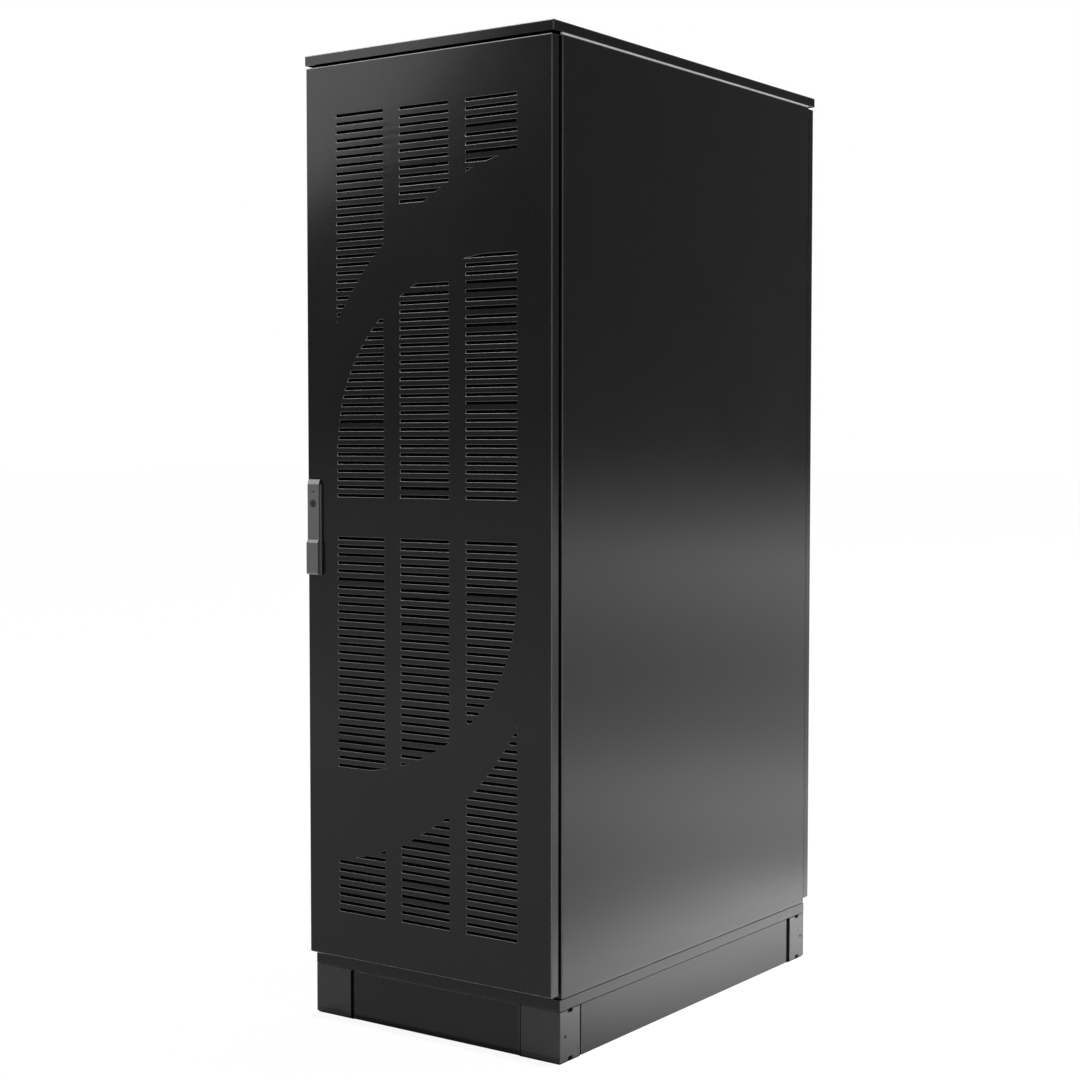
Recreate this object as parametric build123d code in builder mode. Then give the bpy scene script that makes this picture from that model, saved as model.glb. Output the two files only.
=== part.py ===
from build123d import *
import os

# Free-standing battery cabinet with a vented front door, on a raised plinth.
# Millimetres. X to the right seen from the front, the door faces -Y, Z up from the floor.
# The origin is under the middle of the whole cabinet, handle and rear screws included.

# Driving dimensions: outside
half_width = 300.0
door_face = -499.0              # y of the door's outer face
plinth_height = 100.0
roof_bottom = 1893.6
roof_top = 1913.0
roof_depth = 1007.7             # roof, front edge to rear edge
sheet = 1.5
heavy_sheet = 2.0
fold_radius = 2.5               # outside radius of the folded panel edges
small_radius = 1.2              # softer edges of the trims, covers and strip

# Driving dimensions: plinth
plinth_front = 22.6             # set back behind the door's outer face
plinth_rear = 980.6
corner_width = 90.0
corner_depth = 65.0
cover_wall = 3.0
trim_gap = 5.5
side_trim_gap = 9.5             # side trims stop further from the corner covers
trim_recess = 3.0
trim_depth = 15.0
trim_bottom = 0.5
trim_top = 98.0
cover_foot = 3.0
cover_top = 99.4
groove_height = 11.0
corner_plate = 4.0
anchor_x = 260.0
anchor_front = 58.0
anchor_rear = 945.2
anchor_radius = 7.0
link_bolt_radius = 6.0          # bolts between the plinth and the frame
cover_screw = 17.0
cover_screw_height = 50.0
cover_notch = (26.0, 41.0)      # notches in the covers' side walls, behind their front or rear face
cover_notch_foot = 10.0
cover_notch_top = 93.0
tab = (3.4, 5.4)                # tabs of the trims, behind the trim's face
tab_reach = 22.0
tab_heights = (30.0, 70.0)
link_bolt_top = 118.0
nut_radius = 11.0
nut_height = 8.0

# Driving dimensions: frame
strip_top = 121.4               # top of the visible strip of the base rails
base_top = 150.0
top_bottom = 1850.0             # underside of the top rails
top_top = 1890.0
frame_front = 30.0              # front face of the posts, behind the door's outer face
frame_rear = 978.0
frame_half = 284.0
post_width = 60.0
post_depth = 50.0
rail_width = 44.0
system_hole_radius = 4.5
system_hole_pitch = 50.0
system_hole_count = 33
roof_bolt_x = 250.0
roof_bolt_inset = 25.0          # roof bolts, in from the frame's front and rear faces
earth_x = 200.0
earth_height = 111.0
earth_stud_radius = 4.0
roof_bolt_radius = 5.0
washer_radius = 11.0
washer_thickness = 1.2

# Driving dimensions: side panels
side_bottom = 121.8
side_top = 1890.2
side_front = 29.0
side_rear = 979.5
side_depth = 15.0
clip_depths = (120.0, 504.0, 888.0)
clip_heights = (200.0, 1800.0)
roof_seal = (1.0, 6.0)          # pale strips between the side panels and the roof, in from the outside

# Driving dimensions: cable entry
gland_x = 120.0
gland_depth = 870.0
gland_bore = 12.0
gland_radius = 16.0
gland_nut_radius = 22.0
gland_plate_half = 262.0
gland_plate_ends = (82.0, 926.0)
screw_radius = 3.0
screw_head_radius = 6.0
screw_head_height = 3.0
screw_recess = 1.8
screw_recess_radius = 2.4
plate_screw_x = 252.0
plate_screw_depths = (110.0, 504.0, 898.0)

# Driving dimensions: door and rear panel
door_half = 296.66
door_bottom = 129.2
door_top = 1888.3
door_depth = 21.0
lip = 12.0
rear_face = 1007.0              # outer face of the rear panel, behind the door's outer face
rear_screw_x = 240.0
rear_screw_heights = (170.0, 590.0, 1010.0, 1430.0, 1845.0)
rear_seal_lip = 40.0
rear_seal_outer = 276.0
rear_seal_inner = 264.0
rear_seal_ends = ((132.0, 1885.0), (139.0, 1878.0))
tube_outer = 252.0              # stiffening frame of flat tube inside the door
tube_inner = 232.0
tube_rear = 19.0
tube_bottom = 133.0
tube_top = 1884.0
tube_hole_radius = 3.0
filter_half = 229.0             # foam mats behind the vents, one to each half
filter_rear = 8.0
filter_ends = ((208.0, 1004.0), (1009.0, 1805.0))
strap_heights = (224.0, 610.0, 1006.5, 1400.0, 1789.0)
strap_half = 9.0
seal_outer = 248.0
seal_width = 12.0
seal_bottom = 142.0
seal_top = 1875.5

# Driving dimensions: door vents
vent_centre = 1006.7            # height about which the vent pattern is point-symmetric
vent_pitch = 16.07
vent_height = 6.0
vent_width = 118.0
vent_column_pitch = 159.0
vent_rows = 47
vent_first = 42.2               # first row above and below the centre
outer_curve_centre = (314.5, 74.1)
outer_curve_radius = 614.8
inner_curve_centre = (194.3, 149.0)
inner_curve_radii = (409.3, 349.4)

# Driving dimensions: hinges
hinge_x = 285.6
hinge_depth = 11.0
hinge_heights = (330.0, 1008.0, 1690.0)
hinge_pin_radius = 3.0
knuckle_radius = 6.5
running_gap = 0.05
arm_height = 24.0
foot_height = 60.0
knuckle_height = 14.0
knuckle_gap = 0.4
notch_half = 34.0               # notch in the door's lip behind each hinge

# Driving dimensions: lock and handle
lock_x = -276.6
handle_bottom = 890.0
handle_top = 1080.0
plate_thickness = 3.0
spindle_height = 1050.0
lever_pin_height = 1073.0
lever_pin_depth = -5.0
lever_pin_radius = 1.0
key_height = 1032.0
crank = 10.0                    # crank pins off the spindle's axis: the rods' stroke over a quarter turn
rod_width = 12.0
rod_planes = {1: (10.0, 12.0), -1: (12.6, 14.6)}        # upper and lower rod, front and rear face
rod_ends = {1: 1872.0, -1: 145.0}
guide_heights = {1: (1400.0, 1800.0), -1: (700.0, 220.0)}
peg_heights = (1720.0, 300.0)
peg_radius = 4.0
drum_radius = 11.0              # spindle
drum_rear = 8.1
cam_rear = 9.7
crank_pin_radius = 2.5
housing_half = 16.0
housing_top = 1069.5
boss_half = 13.5
boss_bottom = 1032.0
boss_top = 1068.0
boss_rear = 8.0
boss_screw_x = 10.0             # either side of the lock's middle
screw_boss_height = 905.0
lever_half = 14.8
lever_back = -3.4
lever_front = -8.0
grip_front = -12.0
grip_top = 954.0
bevel_foot = 1070.0             # where the lever's front face starts to slope back towards its top
bevel_top = -3.9
ear_half = 4.5                  # ear of the spindle that the lever's pin goes through
ear_bottom = 1056.0
key_radius = 7.5

# Driving dimensions: batteries
shelf_tops = (190.0, 460.0, 730.0, 1000.0, 1270.0)
block_length = 198.0
block_width = 166.0
case_height = 158.0
lid_height = 12.0
block_x = 115.0                 # middle of a row of blocks, either side of the cabinet's middle
block_first = 175.0             # depth of the front blocks' middle
block_pitch = 178.0
blocks_deep = 4
terminal_x = 45.0
terminal_offset = 62.0
terminal_height = 8.0
bar_thickness = 3.0
bar_half = 10.0
stud_radius = 3.0
stud_hole_radius = 3.2
shelf_half = 282.0
shelf_front = 84.0
shelf_rear = 800.0
shelf_lip = 25.0
riser_depth = 72.0
main_bar_depth = 60.0
busbar_bottom = 1600.0
busbar_top = 1630.0
busbar_end = 200.0
busbar_foot = (30.0, 50.0)      # the bars' branches to the breaker, either side of the middle
busbar_tail = 1836.0
busbar_hole_height = 1824.0
busbar_thickness = 5.0
insulator_x = (80.0, 180.0)
insulator_radius = 11.0
bar_end = 11.0                  # the bars reach this far past the terminals' middles

# Driving dimensions: breaker compartment
breaker_plate = (1560.0, 1840.0)
breaker_front = 34.0
breaker_step = 6.0              # the middle of the case stands this far in front of its ends
breaker_half = 52.0
breaker_bottom = 1660.0
breaker_top = 1800.0
breaker_raised = (1690.0, 1770.0)
toggle_height = 1730.0
toggle_depth = 44.0
toggle_half = 11.0
toggle_radius = 12.0
toggle_tilt = -18.0             # at rest, below level
earth_bar_depth = 905.0
earth_bar_half = 100.0

os.makedirs("parts", exist_ok=True)


def depth(behind):
    """y of a place that lies this far behind the door's outer face."""
    return door_face + behind


def block(x, behind, z, mode=Mode.ADD):
    """A block from its (low, high) pairs: x, depth behind the door's face, and z."""
    middle = ((x[0] + x[1]) / 2, depth((behind[0] + behind[1]) / 2), (z[0] + z[1]) / 2)
    with Locations(middle):
        Box(x[1] - x[0], behind[1] - behind[0], z[1] - z[0], mode=mode)


def round_bar(x, behind, z, radius, mode=Mode.ADD):
    """A cylinder along the one of x, depth and z that is given as a (low, high) pair."""
    pairs = [isinstance(value, tuple) for value in (x, behind, z)]
    turn = ((0, 90, 0), (90, 0, 0), (0, 0, 0))[pairs.index(True)]
    spans = [value if isinstance(value, tuple) else (value, value) for value in (x, behind, z)]
    middles = [(low + high) / 2 for low, high in spans]
    length = sum(high - low for low, high in spans)
    with Locations(Location((middles[0], depth(middles[1]), middles[2]), turn)):
        Cylinder(radius, length, mode=mode)


def soften(piece, face, radius):
    """Round the edges of one outer face of a plain block and the four edges that run back from it."""
    back = tuple(face.normal_at())
    along = next(axis for axis, part in zip((Axis.X, Axis.Y, Axis.Z), back) if abs(part) > 0.5)
    fillet(face.edges() + piece.edges().filter_by(along), radius)


def save(piece, name):
    piece.part.label = name
    export_step(piece.part, f"parts/{name}.step")


def both_sides(x):
    """The same distance to the left and to the right of the middle."""
    return (-x, x)


# ---------------------------------------------------------------- plinth

def plinth_corner(side, front):
    """Steel corner of the plinth: floor plate, top plate and two outer walls, open inwards."""
    reach = trim_gap - 0.3
    inward = 1 if front else -1
    outer_x = side * (half_width - cover_wall)
    inner_x = side * (half_width - corner_width - reach)
    face = plinth_front + cover_wall if front else plinth_rear - cover_wall
    back = face + inward * (corner_depth - cover_wall + reach)
    x = (min(outer_x, inner_x), max(outer_x, inner_x))
    y = (min(face, back), max(face, back))
    with BuildPart() as corner:
        block(x, y, (0, plinth_height))
        hollow_x = (x[0], x[1] - cover_wall) if side > 0 else (x[0] + cover_wall, x[1])
        hollow_y = (y[0] + cover_wall, y[1]) if front else (y[0], y[1] - cover_wall)
        block(hollow_x, hollow_y, (corner_plate, plinth_height - corner_plate), Mode.SUBTRACT)
        middle = (side * anchor_x, anchor_front if front else anchor_rear)
        round_bar(middle[0], middle[1], (0, corner_plate), anchor_radius, Mode.SUBTRACT)
        round_bar(middle[0], middle[1], (plinth_height - corner_plate, plinth_height),
                  link_bolt_radius + 0.2, Mode.SUBTRACT)
        screw_y = plinth_front + cover_screw if front else plinth_rear - cover_screw
        side_wall = (outer_x - cover_wall, outer_x) if side > 0 else (outer_x, outer_x + cover_wall)
        round_bar(side_wall, screw_y, cover_screw_height, 2.0, Mode.SUBTRACT)
    return corner


for across, side in (("left", -1), ("right", 1)):
    for along, front in (("front", True), ("rear", False)):
        save(plinth_corner(side, front), f"plinth_corner_{along}_{across}")

cover_places = [(side, front) for side in (-1, 1) for front in (True, False)]
with BuildPart() as plinth_covers:
    for side, front in cover_places:
        x = sorted((side * half_width, side * (half_width - corner_width)))
        face = plinth_front if front else plinth_rear - corner_depth
        y = (face, face + corner_depth)
        block(x, y, (cover_foot, cover_top))
    uprights = plinth_covers.edges().filter_by(Axis.Z).group_by(Axis.X)
    corners = [row.sort_by(Axis.Y)[place] for row in (uprights[0], uprights[-1]) for place in (0, -1)]
    fillet(plinth_covers.edges().group_by(Axis.Z)[-1] + corners, small_radius)
    for side, front in cover_places:
        face = plinth_front if front else plinth_rear
        inward = 1 if front else -1
        x_in = sorted((side * (half_width - cover_wall), side * (half_width - corner_width - 1)))
        y_in = sorted((face + inward * cover_wall, face + inward * (corner_depth + 1)))
        block(x_in, y_in, (0, plinth_height), Mode.SUBTRACT)
        groove_x = sorted((side * (half_width + 1), side * (half_width - corner_width - 1)))
        groove_y = sorted((face - inward, face + inward))
        block(groove_x, groove_y, (groove_height, groove_height + 2), Mode.SUBTRACT)
        wall_x = sorted((side * (half_width + 1), side * (half_width - cover_wall)))
        notch_y = sorted(face + inward * place for place in cover_notch)
        block(wall_x, notch_y, (cover_notch_top, plinth_height), Mode.SUBTRACT)
        block(wall_x, notch_y, (0, cover_notch_foot), Mode.SUBTRACT)
        round_bar(tuple(wall_x), face + inward * cover_screw, cover_screw_height, 3.4, Mode.SUBTRACT)
save(plinth_covers, "plinth_covers")

with BuildPart() as plinth_screws:
    for side in (-1, 1):
        for behind in (plinth_front + cover_screw, plinth_rear - cover_screw):
            wall = side * (half_width - cover_wall)
            round_bar(tuple(sorted((wall, wall + side * 2.2))), behind, cover_screw_height, 3.2)
            round_bar(tuple(sorted((wall - side * 9, wall))), behind, cover_screw_height, 1.95)
save(plinth_screws, "plinth_screws")


def cross_trim(front):
    """Front or rear trim: a pan open inwards, with a tab at each end behind the corner's wall."""
    half = half_width - corner_width - trim_gap
    face = plinth_front + trim_recess if front else plinth_rear - trim_recess
    inward = 1 if front else -1
    with BuildPart() as trim:
        block((-half, half), sorted((face, face + inward * trim_depth)), (trim_bottom, trim_top))
        soften(trim, trim.faces().sort_by(Axis.Y)[0 if front else -1], small_radius)
        block((-half + heavy_sheet, half - heavy_sheet),
              sorted((face + inward * heavy_sheet, face + inward * trim_depth)),
              (trim_bottom + heavy_sheet, trim_top - heavy_sheet), Mode.SUBTRACT)
        for side in (-1, 1):
            tab_x = sorted((side * (half - heavy_sheet), side * (half + tab_reach)))
            block(tab_x, sorted(face + inward * place for place in tab), tab_heights)
    return trim


def side_trim(side):
    """Left or right trim, built like the cross trims."""
    front = plinth_front + corner_depth + side_trim_gap
    rear = plinth_rear - corner_depth - side_trim_gap
    face = side * (half_width - trim_recess)
    with BuildPart() as trim:
        block(sorted((face, face - side * trim_depth)), (front, rear), (trim_bottom, trim_top))
        soften(trim, trim.faces().sort_by(Axis.X)[0 if side < 0 else -1], small_radius)
        block(sorted((face - side * heavy_sheet, face - side * trim_depth)),
              (front + heavy_sheet, rear - heavy_sheet),
              (trim_bottom + heavy_sheet, trim_top - heavy_sheet), Mode.SUBTRACT)
        for low, high in ((front - tab_reach, front + heavy_sheet), (rear - heavy_sheet, rear + tab_reach)):
            block(sorted(face - side * place for place in tab), (low, high), tab_heights)
    return trim


save(cross_trim(True), "plinth_trim_front")
save(cross_trim(False), "plinth_trim_rear")
save(side_trim(-1), "plinth_trim_left")
save(side_trim(1), "plinth_trim_right")

# ---------------------------------------------------------------- frame

with BuildPart() as base_cross_rails:
    for outer, inward in ((plinth_front, 1), (plinth_rear, -1)):
        upper = frame_front if inward > 0 else frame_rear
        inner = upper + inward * post_depth
        block((-half_width, half_width), sorted((outer, inner)), (plinth_height, strip_top))
        block((-frame_half, frame_half), sorted((upper, inner)), (strip_top, base_top))
        block((-half_width + heavy_sheet, half_width - heavy_sheet),
              sorted((outer + inward * heavy_sheet, inner)),
              (plinth_height + heavy_sheet, strip_top - heavy_sheet), Mode.SUBTRACT)
        block((-frame_half + heavy_sheet, frame_half - heavy_sheet),
              sorted((upper + inward * heavy_sheet, inner)),
              (strip_top - heavy_sheet, base_top - heavy_sheet), Mode.SUBTRACT)
        bolt_y = anchor_front if inward > 0 else anchor_rear
        for x in both_sides(anchor_x):
            round_bar(x, bolt_y, (plinth_height, plinth_height + heavy_sheet), link_bolt_radius + 0.2,
                      Mode.SUBTRACT)
    round_bar(earth_x, (plinth_rear - heavy_sheet, plinth_rear), earth_height,
              earth_stud_radius + 0.1, Mode.SUBTRACT)
save(base_cross_rails, "base_cross_rails")

with BuildPart() as base_side_rails:
    span = (frame_front + post_depth, frame_rear - post_depth)
    for side in (-1, 1):
        inner = side * (frame_half - rail_width)
        block(sorted((side * half_width, inner)), span, (plinth_height, strip_top))
        block(sorted((side * frame_half, inner)), span, (strip_top, base_top))
        block(sorted((side * (half_width - heavy_sheet), inner)), span,
              (plinth_height + heavy_sheet, strip_top - heavy_sheet), Mode.SUBTRACT)
        block(sorted((side * (frame_half - heavy_sheet), inner)), span,
              (strip_top - heavy_sheet, base_top - heavy_sheet), Mode.SUBTRACT)
save(base_side_rails, "base_side_rails")


def post(side, front):
    """Upright of the frame: a square tube with rows of system holes on its two inner faces."""
    x = sorted((side * frame_half, side * (frame_half - post_width)))
    y = (frame_front, frame_front + post_depth) if front else (frame_rear - post_depth, frame_rear)
    with BuildPart() as upright:
        block(x, y, (base_top, top_bottom))
        block((x[0] + heavy_sheet, x[1] - heavy_sheet), (y[0] + heavy_sheet, y[1] - heavy_sheet),
              (base_top, top_bottom), Mode.SUBTRACT)
        inner_wall = x[0] + heavy_sheet / 2 if side > 0 else x[1] - heavy_sheet / 2
        middle_height = (base_top + top_bottom) / 2
        with Locations(Location((inner_wall, depth(sum(y) / 2), middle_height), (0, 90, 0))):
            with GridLocations(system_hole_pitch, 1, system_hole_count, 1):
                Cylinder(system_hole_radius, 2 * heavy_sheet, mode=Mode.SUBTRACT)
        if front and side < 0:
            for height in peg_heights:
                slot_top = height + peg_radius + 1.5 + (0 if height > vent_centre else crank)
                slot_bottom = height - peg_radius - 1.5 - (crank if height > vent_centre else 0)
                slot_x = (lock_x - peg_radius - 1.4, lock_x + peg_radius + 1.4)
                block(slot_x, (y[0], y[0] + heavy_sheet), (slot_bottom, slot_top), Mode.SUBTRACT)
    return upright


for across, side in (("left", -1), ("right", 1)):
    for along, front in (("front", True), ("rear", False)):
        save(post(side, front), f"post_{along}_{across}")

with BuildPart() as top_cross_rails:
    for outer, inward in ((frame_front, 1), (frame_rear, -1)):
        inner = outer + inward * post_depth
        block((-frame_half, frame_half), sorted((outer, inner)), (top_bottom, top_top))
        block((-frame_half + heavy_sheet, frame_half - heavy_sheet),
              sorted((outer + inward * heavy_sheet, inner)),
              (top_bottom + heavy_sheet, top_top - heavy_sheet), Mode.SUBTRACT)
        for x in both_sides(roof_bolt_x):
            round_bar(x, outer + inward * roof_bolt_inset, (top_top - heavy_sheet, top_top),
                      roof_bolt_radius + 0.2, Mode.SUBTRACT)
save(top_cross_rails, "top_cross_rails")

with BuildPart() as top_side_rails:
    for side in (-1, 1):
        x = sorted((side * frame_half, side * (frame_half - rail_width)))
        x_in = sorted((side * (frame_half - heavy_sheet), side * (frame_half - rail_width)))
        span = (frame_front + post_depth, frame_rear - post_depth)
        block(x, span, (top_bottom, top_top))
        block(x_in, span, (top_bottom + heavy_sheet, top_top - heavy_sheet), Mode.SUBTRACT)
save(top_side_rails, "top_side_rails")

plate_top = base_top + heavy_sheet
with BuildPart() as gland_plate:
    block((-gland_plate_half, gland_plate_half), gland_plate_ends, (base_top, plate_top))
    for x in both_sides(gland_x):
        round_bar(x, gland_depth, (base_top, plate_top), gland_radius + 0.2, Mode.SUBTRACT)
    for x in both_sides(plate_screw_x):
        for behind in plate_screw_depths:
            round_bar(x, behind, (base_top, plate_top), screw_radius + 0.2, Mode.SUBTRACT)
save(gland_plate, "gland_plate")

with BuildPart() as cable_glands:
    for x in both_sides(gland_x):
        round_bar(x, gland_depth, (base_top - 22, plate_top + 14), gland_radius)
        with BuildSketch(Plane.XY.offset(base_top - 10)):
            with Locations((x, depth(gland_depth))):
                RegularPolygon(gland_nut_radius, 6)
        extrude(amount=10.0)
        with BuildSketch(Plane.XY.offset(plate_top)):
            with Locations((x, depth(gland_depth))):
                RegularPolygon(gland_nut_radius, 6)
        extrude(amount=7.0)
        round_bar(x, gland_depth, (base_top - 22, plate_top + 14), gland_bore, Mode.SUBTRACT)
save(cable_glands, "cable_glands")

# ---------------------------------------------------------------- panels and roof


def side_panel(side):
    """Side panel: a pan open to the inside, its rim 15 mm deep."""
    x = sorted((side * half_width, side * (half_width - side_depth)))
    x_in = sorted((side * (half_width - sheet), side * (half_width - side_depth)))
    with BuildPart() as panel:
        block(x, (side_front, side_rear), (side_bottom, side_top))
        soften(panel, panel.faces().sort_by(Axis.X)[0 if side < 0 else -1], fold_radius)
        block(x_in, (side_front + sheet, side_rear - sheet), (side_bottom + sheet, side_top - sheet),
              Mode.SUBTRACT)
    return panel


save(side_panel(-1), "side_panel_left")
save(side_panel(1), "side_panel_right")

with BuildPart() as side_panel_clips:
    for side in (-1, 1):
        for behind in clip_depths:
            for height in clip_heights:
                x = sorted((side * (frame_half + 0.2), side * (half_width - sheet)))
                block(x, (behind - 12, behind + 12), (height - 15, height + 15))
save(side_panel_clips, "side_panel_clips")

rim = rear_face - door_depth
with BuildPart() as rear_panel:
    block((-door_half, door_half), (rim, rear_face), (door_bottom, door_top))
    soften(rear_panel, rear_panel.faces().sort_by(Axis.Y)[-1], fold_radius)
    block((-door_half + sheet, door_half - sheet), (rim + sheet, rear_face - sheet),
          (door_bottom + sheet, door_top - sheet), Mode.SUBTRACT)
    block((-door_half + rear_seal_lip, door_half - rear_seal_lip), (rim, rim + sheet),
          (door_bottom + lip, door_top - lip), Mode.SUBTRACT)
    for x in both_sides(rear_screw_x):
        for height in rear_screw_heights:
            round_bar(x, (frame_rear + 0.3, rear_face - sheet), height, 7.0)
            round_bar(x, (frame_rear + 0.3, rear_face), height, screw_radius + 0.3, Mode.SUBTRACT)
save(rear_panel, "rear_panel")

with BuildPart() as panel_screws:
    for x in both_sides(rear_screw_x):
        for height in rear_screw_heights:
            head = (rear_face, rear_face + screw_head_height)
            round_bar(x, head, height, screw_head_radius)
            round_bar(x, (frame_rear + 0.3, rear_face), height, screw_radius)
            round_bar(x, (head[1] - screw_recess, head[1]), height, screw_recess_radius, Mode.SUBTRACT)
    for x in both_sides(plate_screw_x):
        for behind in plate_screw_depths:
            head = (plate_top, plate_top + screw_head_height)
            round_bar(x, behind, head, screw_head_radius)
            round_bar(x, behind, (base_top, plate_top), screw_radius)
            round_bar(x, behind, (head[1] - screw_recess, head[1]), screw_recess_radius, Mode.SUBTRACT)
save(panel_screws, "panel_screws")

with BuildPart() as roof_panel:
    block((-half_width, half_width), (0, roof_depth), (roof_bottom, roof_top))
    soften(roof_panel, roof_panel.faces().sort_by(Axis.Z)[-1], fold_radius)
    block((-half_width + heavy_sheet, half_width - heavy_sheet), (heavy_sheet, roof_depth - heavy_sheet),
          (roof_bottom, roof_top - heavy_sheet), Mode.SUBTRACT)
    for x in both_sides(roof_bolt_x):
        for behind in (frame_front + roof_bolt_inset, frame_rear - roof_bolt_inset):
            round_bar(x, behind, (roof_top - heavy_sheet, roof_top),
                      roof_bolt_radius + 0.5, Mode.SUBTRACT)
save(roof_panel, "roof_panel")

with BuildPart() as roof_spacers:
    for x in both_sides(roof_bolt_x):
        for behind in (frame_front + roof_bolt_inset, frame_rear - roof_bolt_inset):
            round_bar(x, behind, (top_top, roof_top - heavy_sheet), 14.0)
            round_bar(x, behind, (top_top, roof_top - heavy_sheet),
                      roof_bolt_radius + 0.5, Mode.SUBTRACT)
save(roof_spacers, "roof_spacers")

with BuildPart() as roof_seals:
    for side in (-1, 1):
        block(sorted((side * (half_width - roof_seal[0]), side * (half_width - roof_seal[1]))),
              (side_front + roof_seal[0], side_rear - roof_seal[0]), (side_top, roof_bottom))
save(roof_seals, "roof_seals")

with BuildPart() as frame_bolts:
    for x in both_sides(anchor_x):
        for behind in (anchor_front, anchor_rear):
            round_bar(x, behind, (plinth_height - corner_plate, link_bolt_top), link_bolt_radius)
            for low in (plinth_height - corner_plate - nut_height, plinth_height + heavy_sheet):
                with BuildSketch(Plane.XY.offset(low)):
                    with Locations((x, depth(behind))):
                        RegularPolygon(nut_radius, 6)
                extrude(amount=nut_height)
    for x in both_sides(roof_bolt_x):
        for behind in (frame_front + roof_bolt_inset, frame_rear - roof_bolt_inset):
            round_bar(x, behind, (top_top - 10, roof_top), roof_bolt_radius)
            round_bar(x, behind, (roof_top, roof_top + washer_thickness), washer_radius)
            with BuildSketch(Plane.XY.offset(roof_top + washer_thickness)):
                with Locations((x, depth(behind))):
                    RegularPolygon(9.0, 6)
            extrude(amount=5.0)
save(frame_bolts, "frame_bolts")

with BuildPart() as earth_stud:
    round_bar(earth_x, (plinth_rear - 12, plinth_rear + 24), earth_height, earth_stud_radius)
    for low in (plinth_rear - heavy_sheet - 4.4, plinth_rear + 0.2):
        with BuildSketch(Plane.XZ.offset(-depth(low))):
            with Locations((earth_x, earth_height)):
                RegularPolygon(7.5, 6)
        extrude(amount=-4.2)
save(earth_stud, "earth_stud")

# ---------------------------------------------------------------- shelves, blocks and bars

with BuildPart() as shelf_rails:
    for side in (-1, 1):
        for top in shelf_tops:
            x = sorted((side * (shelf_half - 24), side * shelf_half))
            span = (frame_front + post_depth + 0.3, frame_rear - post_depth - 0.3)
            block(x, span, (top - 32, top - 2))
            block((x[0] + 2, x[1] - 2), span, (top - 30, top - 4), Mode.SUBTRACT)
save(shelf_rails, "shelf_rails")

with BuildPart() as battery_shelves:
    for top in shelf_tops:
        block((-shelf_half, shelf_half), (shelf_front, shelf_rear), (top - 2, top + shelf_lip))
        block((-shelf_half, shelf_half), (shelf_front + 2, shelf_rear - 2), (top, top + shelf_lip),
              Mode.SUBTRACT)
        with Locations((0, depth((shelf_front + shelf_rear) / 2), top - 1)):
            with GridLocations(block_x, block_pitch, 5, blocks_deep):
                Box(50, 90, 4, mode=Mode.SUBTRACT)
save(battery_shelves, "battery_shelves")

block_places = [
    (side * block_x, block_first + step * block_pitch)
    for side in (-1, 1)
    for step in range(blocks_deep)
]


def block_layer(height, low, corner, inset=0.0):
    """One rounded box per battery, from low above its shelf, on every shelf."""
    with BuildPart() as layer:
        for top in shelf_tops:
            with BuildSketch(Plane.XY.offset(top + low)):
                with Locations(*[(x, depth(behind)) for x, behind in block_places]):
                    RectangleRounded(block_length - inset, block_width - inset, corner)
            extrude(amount=height)
    return layer


save(block_layer(case_height, 0.0, 6.0, 2.0), "battery_cases")
save(block_layer(lid_height, case_height, 7.0), "battery_lids")

lid_top = case_height + lid_height
bar_low = lid_top + terminal_height
terminal_places = [
    (terminal_x if x > 0 else -terminal_x, behind + end)
    for x, behind in block_places
    for end in (-terminal_offset, terminal_offset)
]
with BuildPart() as battery_terminals:
    for radius, low, high in ((8.0, lid_top, bar_low), (stud_radius, bar_low, bar_low + bar_thickness),
                              (6.0, bar_low + bar_thickness, bar_low + 7)):
        with Locations(*[(x, depth(behind), top + (low + high) / 2)
                         for top in shelf_tops for x, behind in terminal_places]):
            Cylinder(radius, high - low)
save(battery_terminals, "battery_terminals")

block_last = block_first + (blocks_deep - 1) * block_pitch
with BuildPart() as link_bars:
    for top in shelf_tops:
        z = (top + bar_low, top + bar_low + bar_thickness)
        for x in (-terminal_x, terminal_x):
            for step in range(blocks_deep - 1):
                first = block_first + step * block_pitch + terminal_offset
                second = block_first + (step + 1) * block_pitch - terminal_offset
                block((x - bar_half, x + bar_half), (first - bar_end, second + bar_end), z)
                for behind in (first, second):
                    round_bar(x, behind, z, stud_hole_radius, Mode.SUBTRACT)
        cross = block_last + terminal_offset
        block((-terminal_x - bar_end, terminal_x + bar_end), (cross - bar_half, cross + bar_half), z)
        for x in (-terminal_x, terminal_x):
            round_bar(x, cross, z, stud_hole_radius, Mode.SUBTRACT)
save(link_bars, "link_bars")

first_terminal = block_first - terminal_offset


def riser(x, low, high, front, ends):
    """Flat bar from a terminal out to the front and up, and back over another terminal if it has 2 ends."""
    z_low = low + bar_low
    z_high = high + bar_low if ends == 2 else high
    block((x - bar_half, x + bar_half), (front, first_terminal + bar_end),
          (z_low, z_low + bar_thickness))
    block((x - bar_half, x + bar_half), (front, front + bar_thickness), (z_low, z_high + bar_thickness))
    round_bar(x, first_terminal, (z_low, z_low + bar_thickness), stud_hole_radius, Mode.SUBTRACT)
    if ends == 2:
        block((x - bar_half, x + bar_half), (front, first_terminal + bar_end),
              (z_high, z_high + bar_thickness))
        round_bar(x, first_terminal, (z_high, z_high + bar_thickness), stud_hole_radius, Mode.SUBTRACT)


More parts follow.
